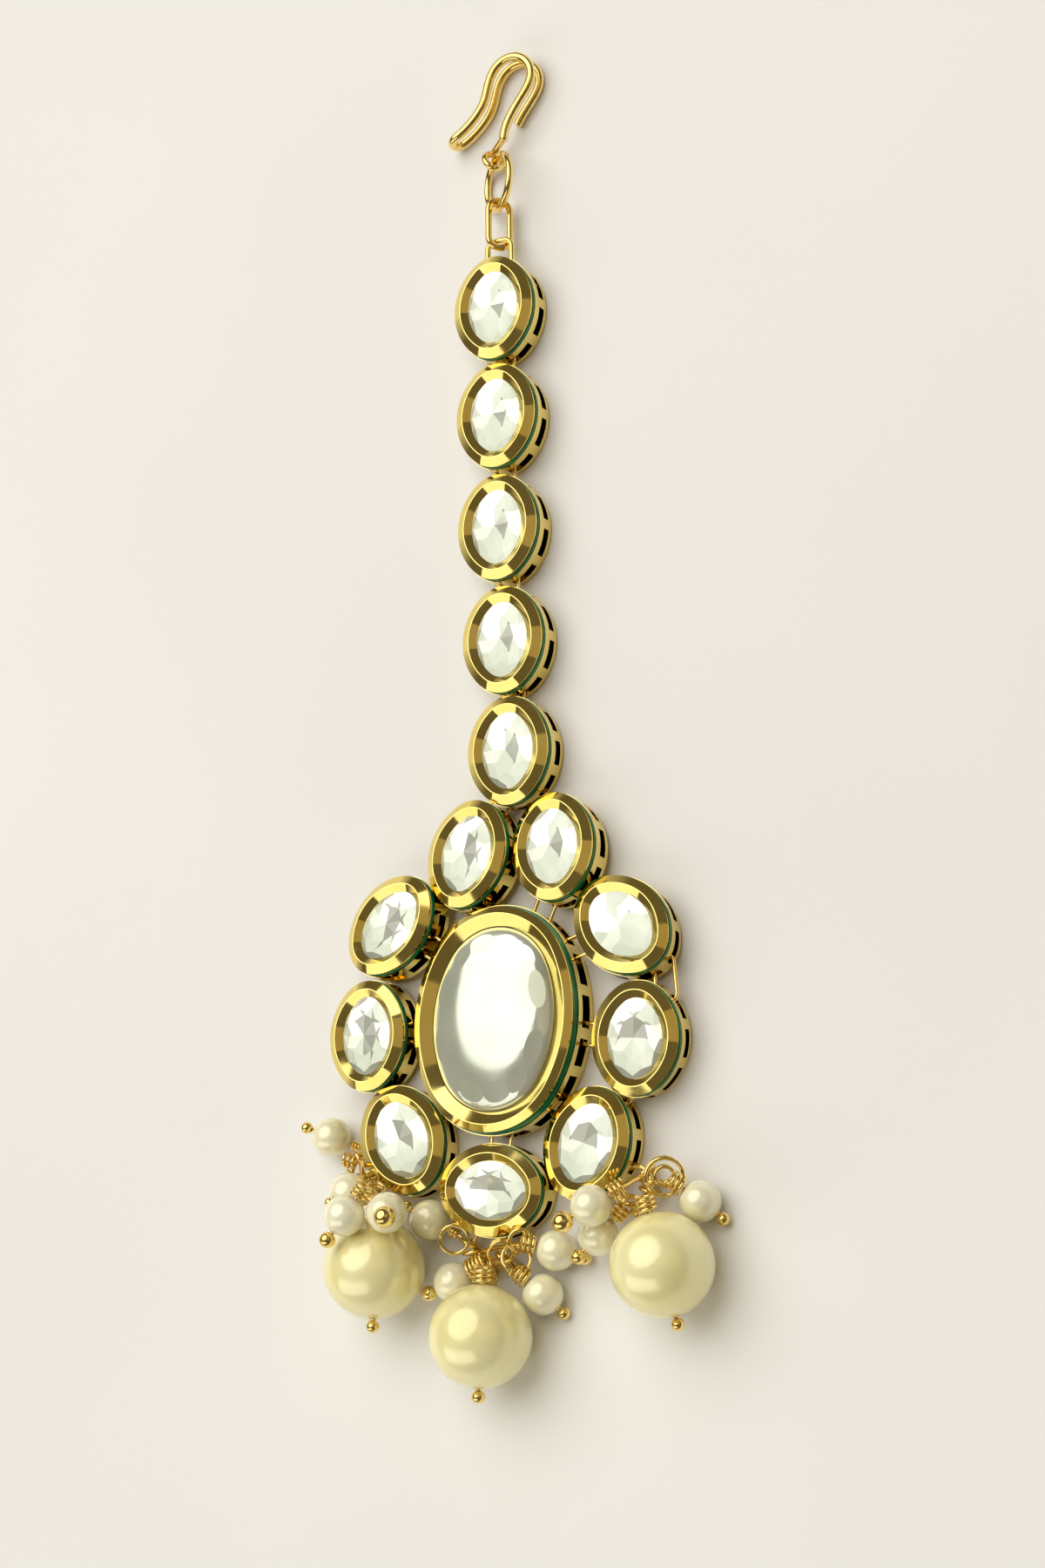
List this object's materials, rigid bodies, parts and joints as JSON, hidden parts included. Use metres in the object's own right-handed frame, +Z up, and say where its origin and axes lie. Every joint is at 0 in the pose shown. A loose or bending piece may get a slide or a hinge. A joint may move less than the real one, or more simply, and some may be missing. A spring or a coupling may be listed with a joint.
{
  "type": "maang tikka",
  "caption": "Forehead jewel: wire hook, chain of oval stone settings and a flower pendant with pearl drops",
  "frame": {"origin": "middle of the flat back of the large setting, on the floor plane", "axes": "+Y toward the hook, along the chain; +Z up out of the stones' faces; +X to the right seen from the front with the hook up"},
  "size_m": [0.0456, 0.1395, 0.0129],
  "materials": {
    "gold": "mirror polished gold plating over brass, bevels and grooved rims",
    "gold_wire": "polished gold-plated round wire",
    "small_stone": "faceted stone, foil backed, silvery pale grey",
    "centre_stone": "large domed stone with broad soft facets, foil backed, silver grey",
    "pearl": "imitation pearl, cream, soft lustre"
  },
  "bodies": {
    "root": {"centre_setting": "gold", "centre_stone": "centre_stone", "chain_link_1": "gold_wire", "chain_link_2": "gold_wire", "chain_link_3": "gold_wire", "chain_link_4": "gold_wire", "chain_link_5": "gold_wire", "chain_setting_1": "gold", "chain_setting_2": "gold", "chain_setting_3": "gold", "chain_setting_4": "gold", "chain_setting_5": "gold", "chain_stone_1": "small_stone", "chain_stone_2": "small_stone", "chain_stone_3": "small_stone", "chain_stone_4": "small_stone", "chain_stone_5": "small_stone", "drop_wires_1": "gold_wire", "drop_wires_2": "gold_wire", "drop_wires_3": "gold_wire", "hook": "gold_wire", "hook_ring": "gold_wire", "large_pearl_1": "pearl", "large_pearl_2": "pearl", "large_pearl_3": "pearl", "petal_rings": "gold_wire", "petal_setting_1": "gold", "petal_setting_2": "gold", "petal_setting_3": "gold", "petal_setting_4": "gold", "petal_setting_5": "gold", "petal_setting_6": "gold", "petal_setting_7": "gold", "petal_setting_8": "gold", "petal_setting_9": "gold", "petal_stone_1": "small_stone", "petal_stone_2": "small_stone", "petal_stone_3": "small_stone", "petal_stone_4": "small_stone", "petal_stone_5": "small_stone", "petal_stone_6": "small_stone", "petal_stone_7": "small_stone", "petal_stone_8": "small_stone", "petal_stone_9": "small_stone", "small_pearl_1": "pearl", "small_pearl_10": "pearl", "small_pearl_11": "pearl", "small_pearl_2": "pearl", "small_pearl_3": "pearl", "small_pearl_4": "pearl", "small_pearl_5": "pearl", "small_pearl_6": "pearl", "small_pearl_7": "pearl", "small_pearl_8": "pearl", "small_pearl_9": "pearl", "top_link": "gold_wire"}
  },
  "joints": []
}
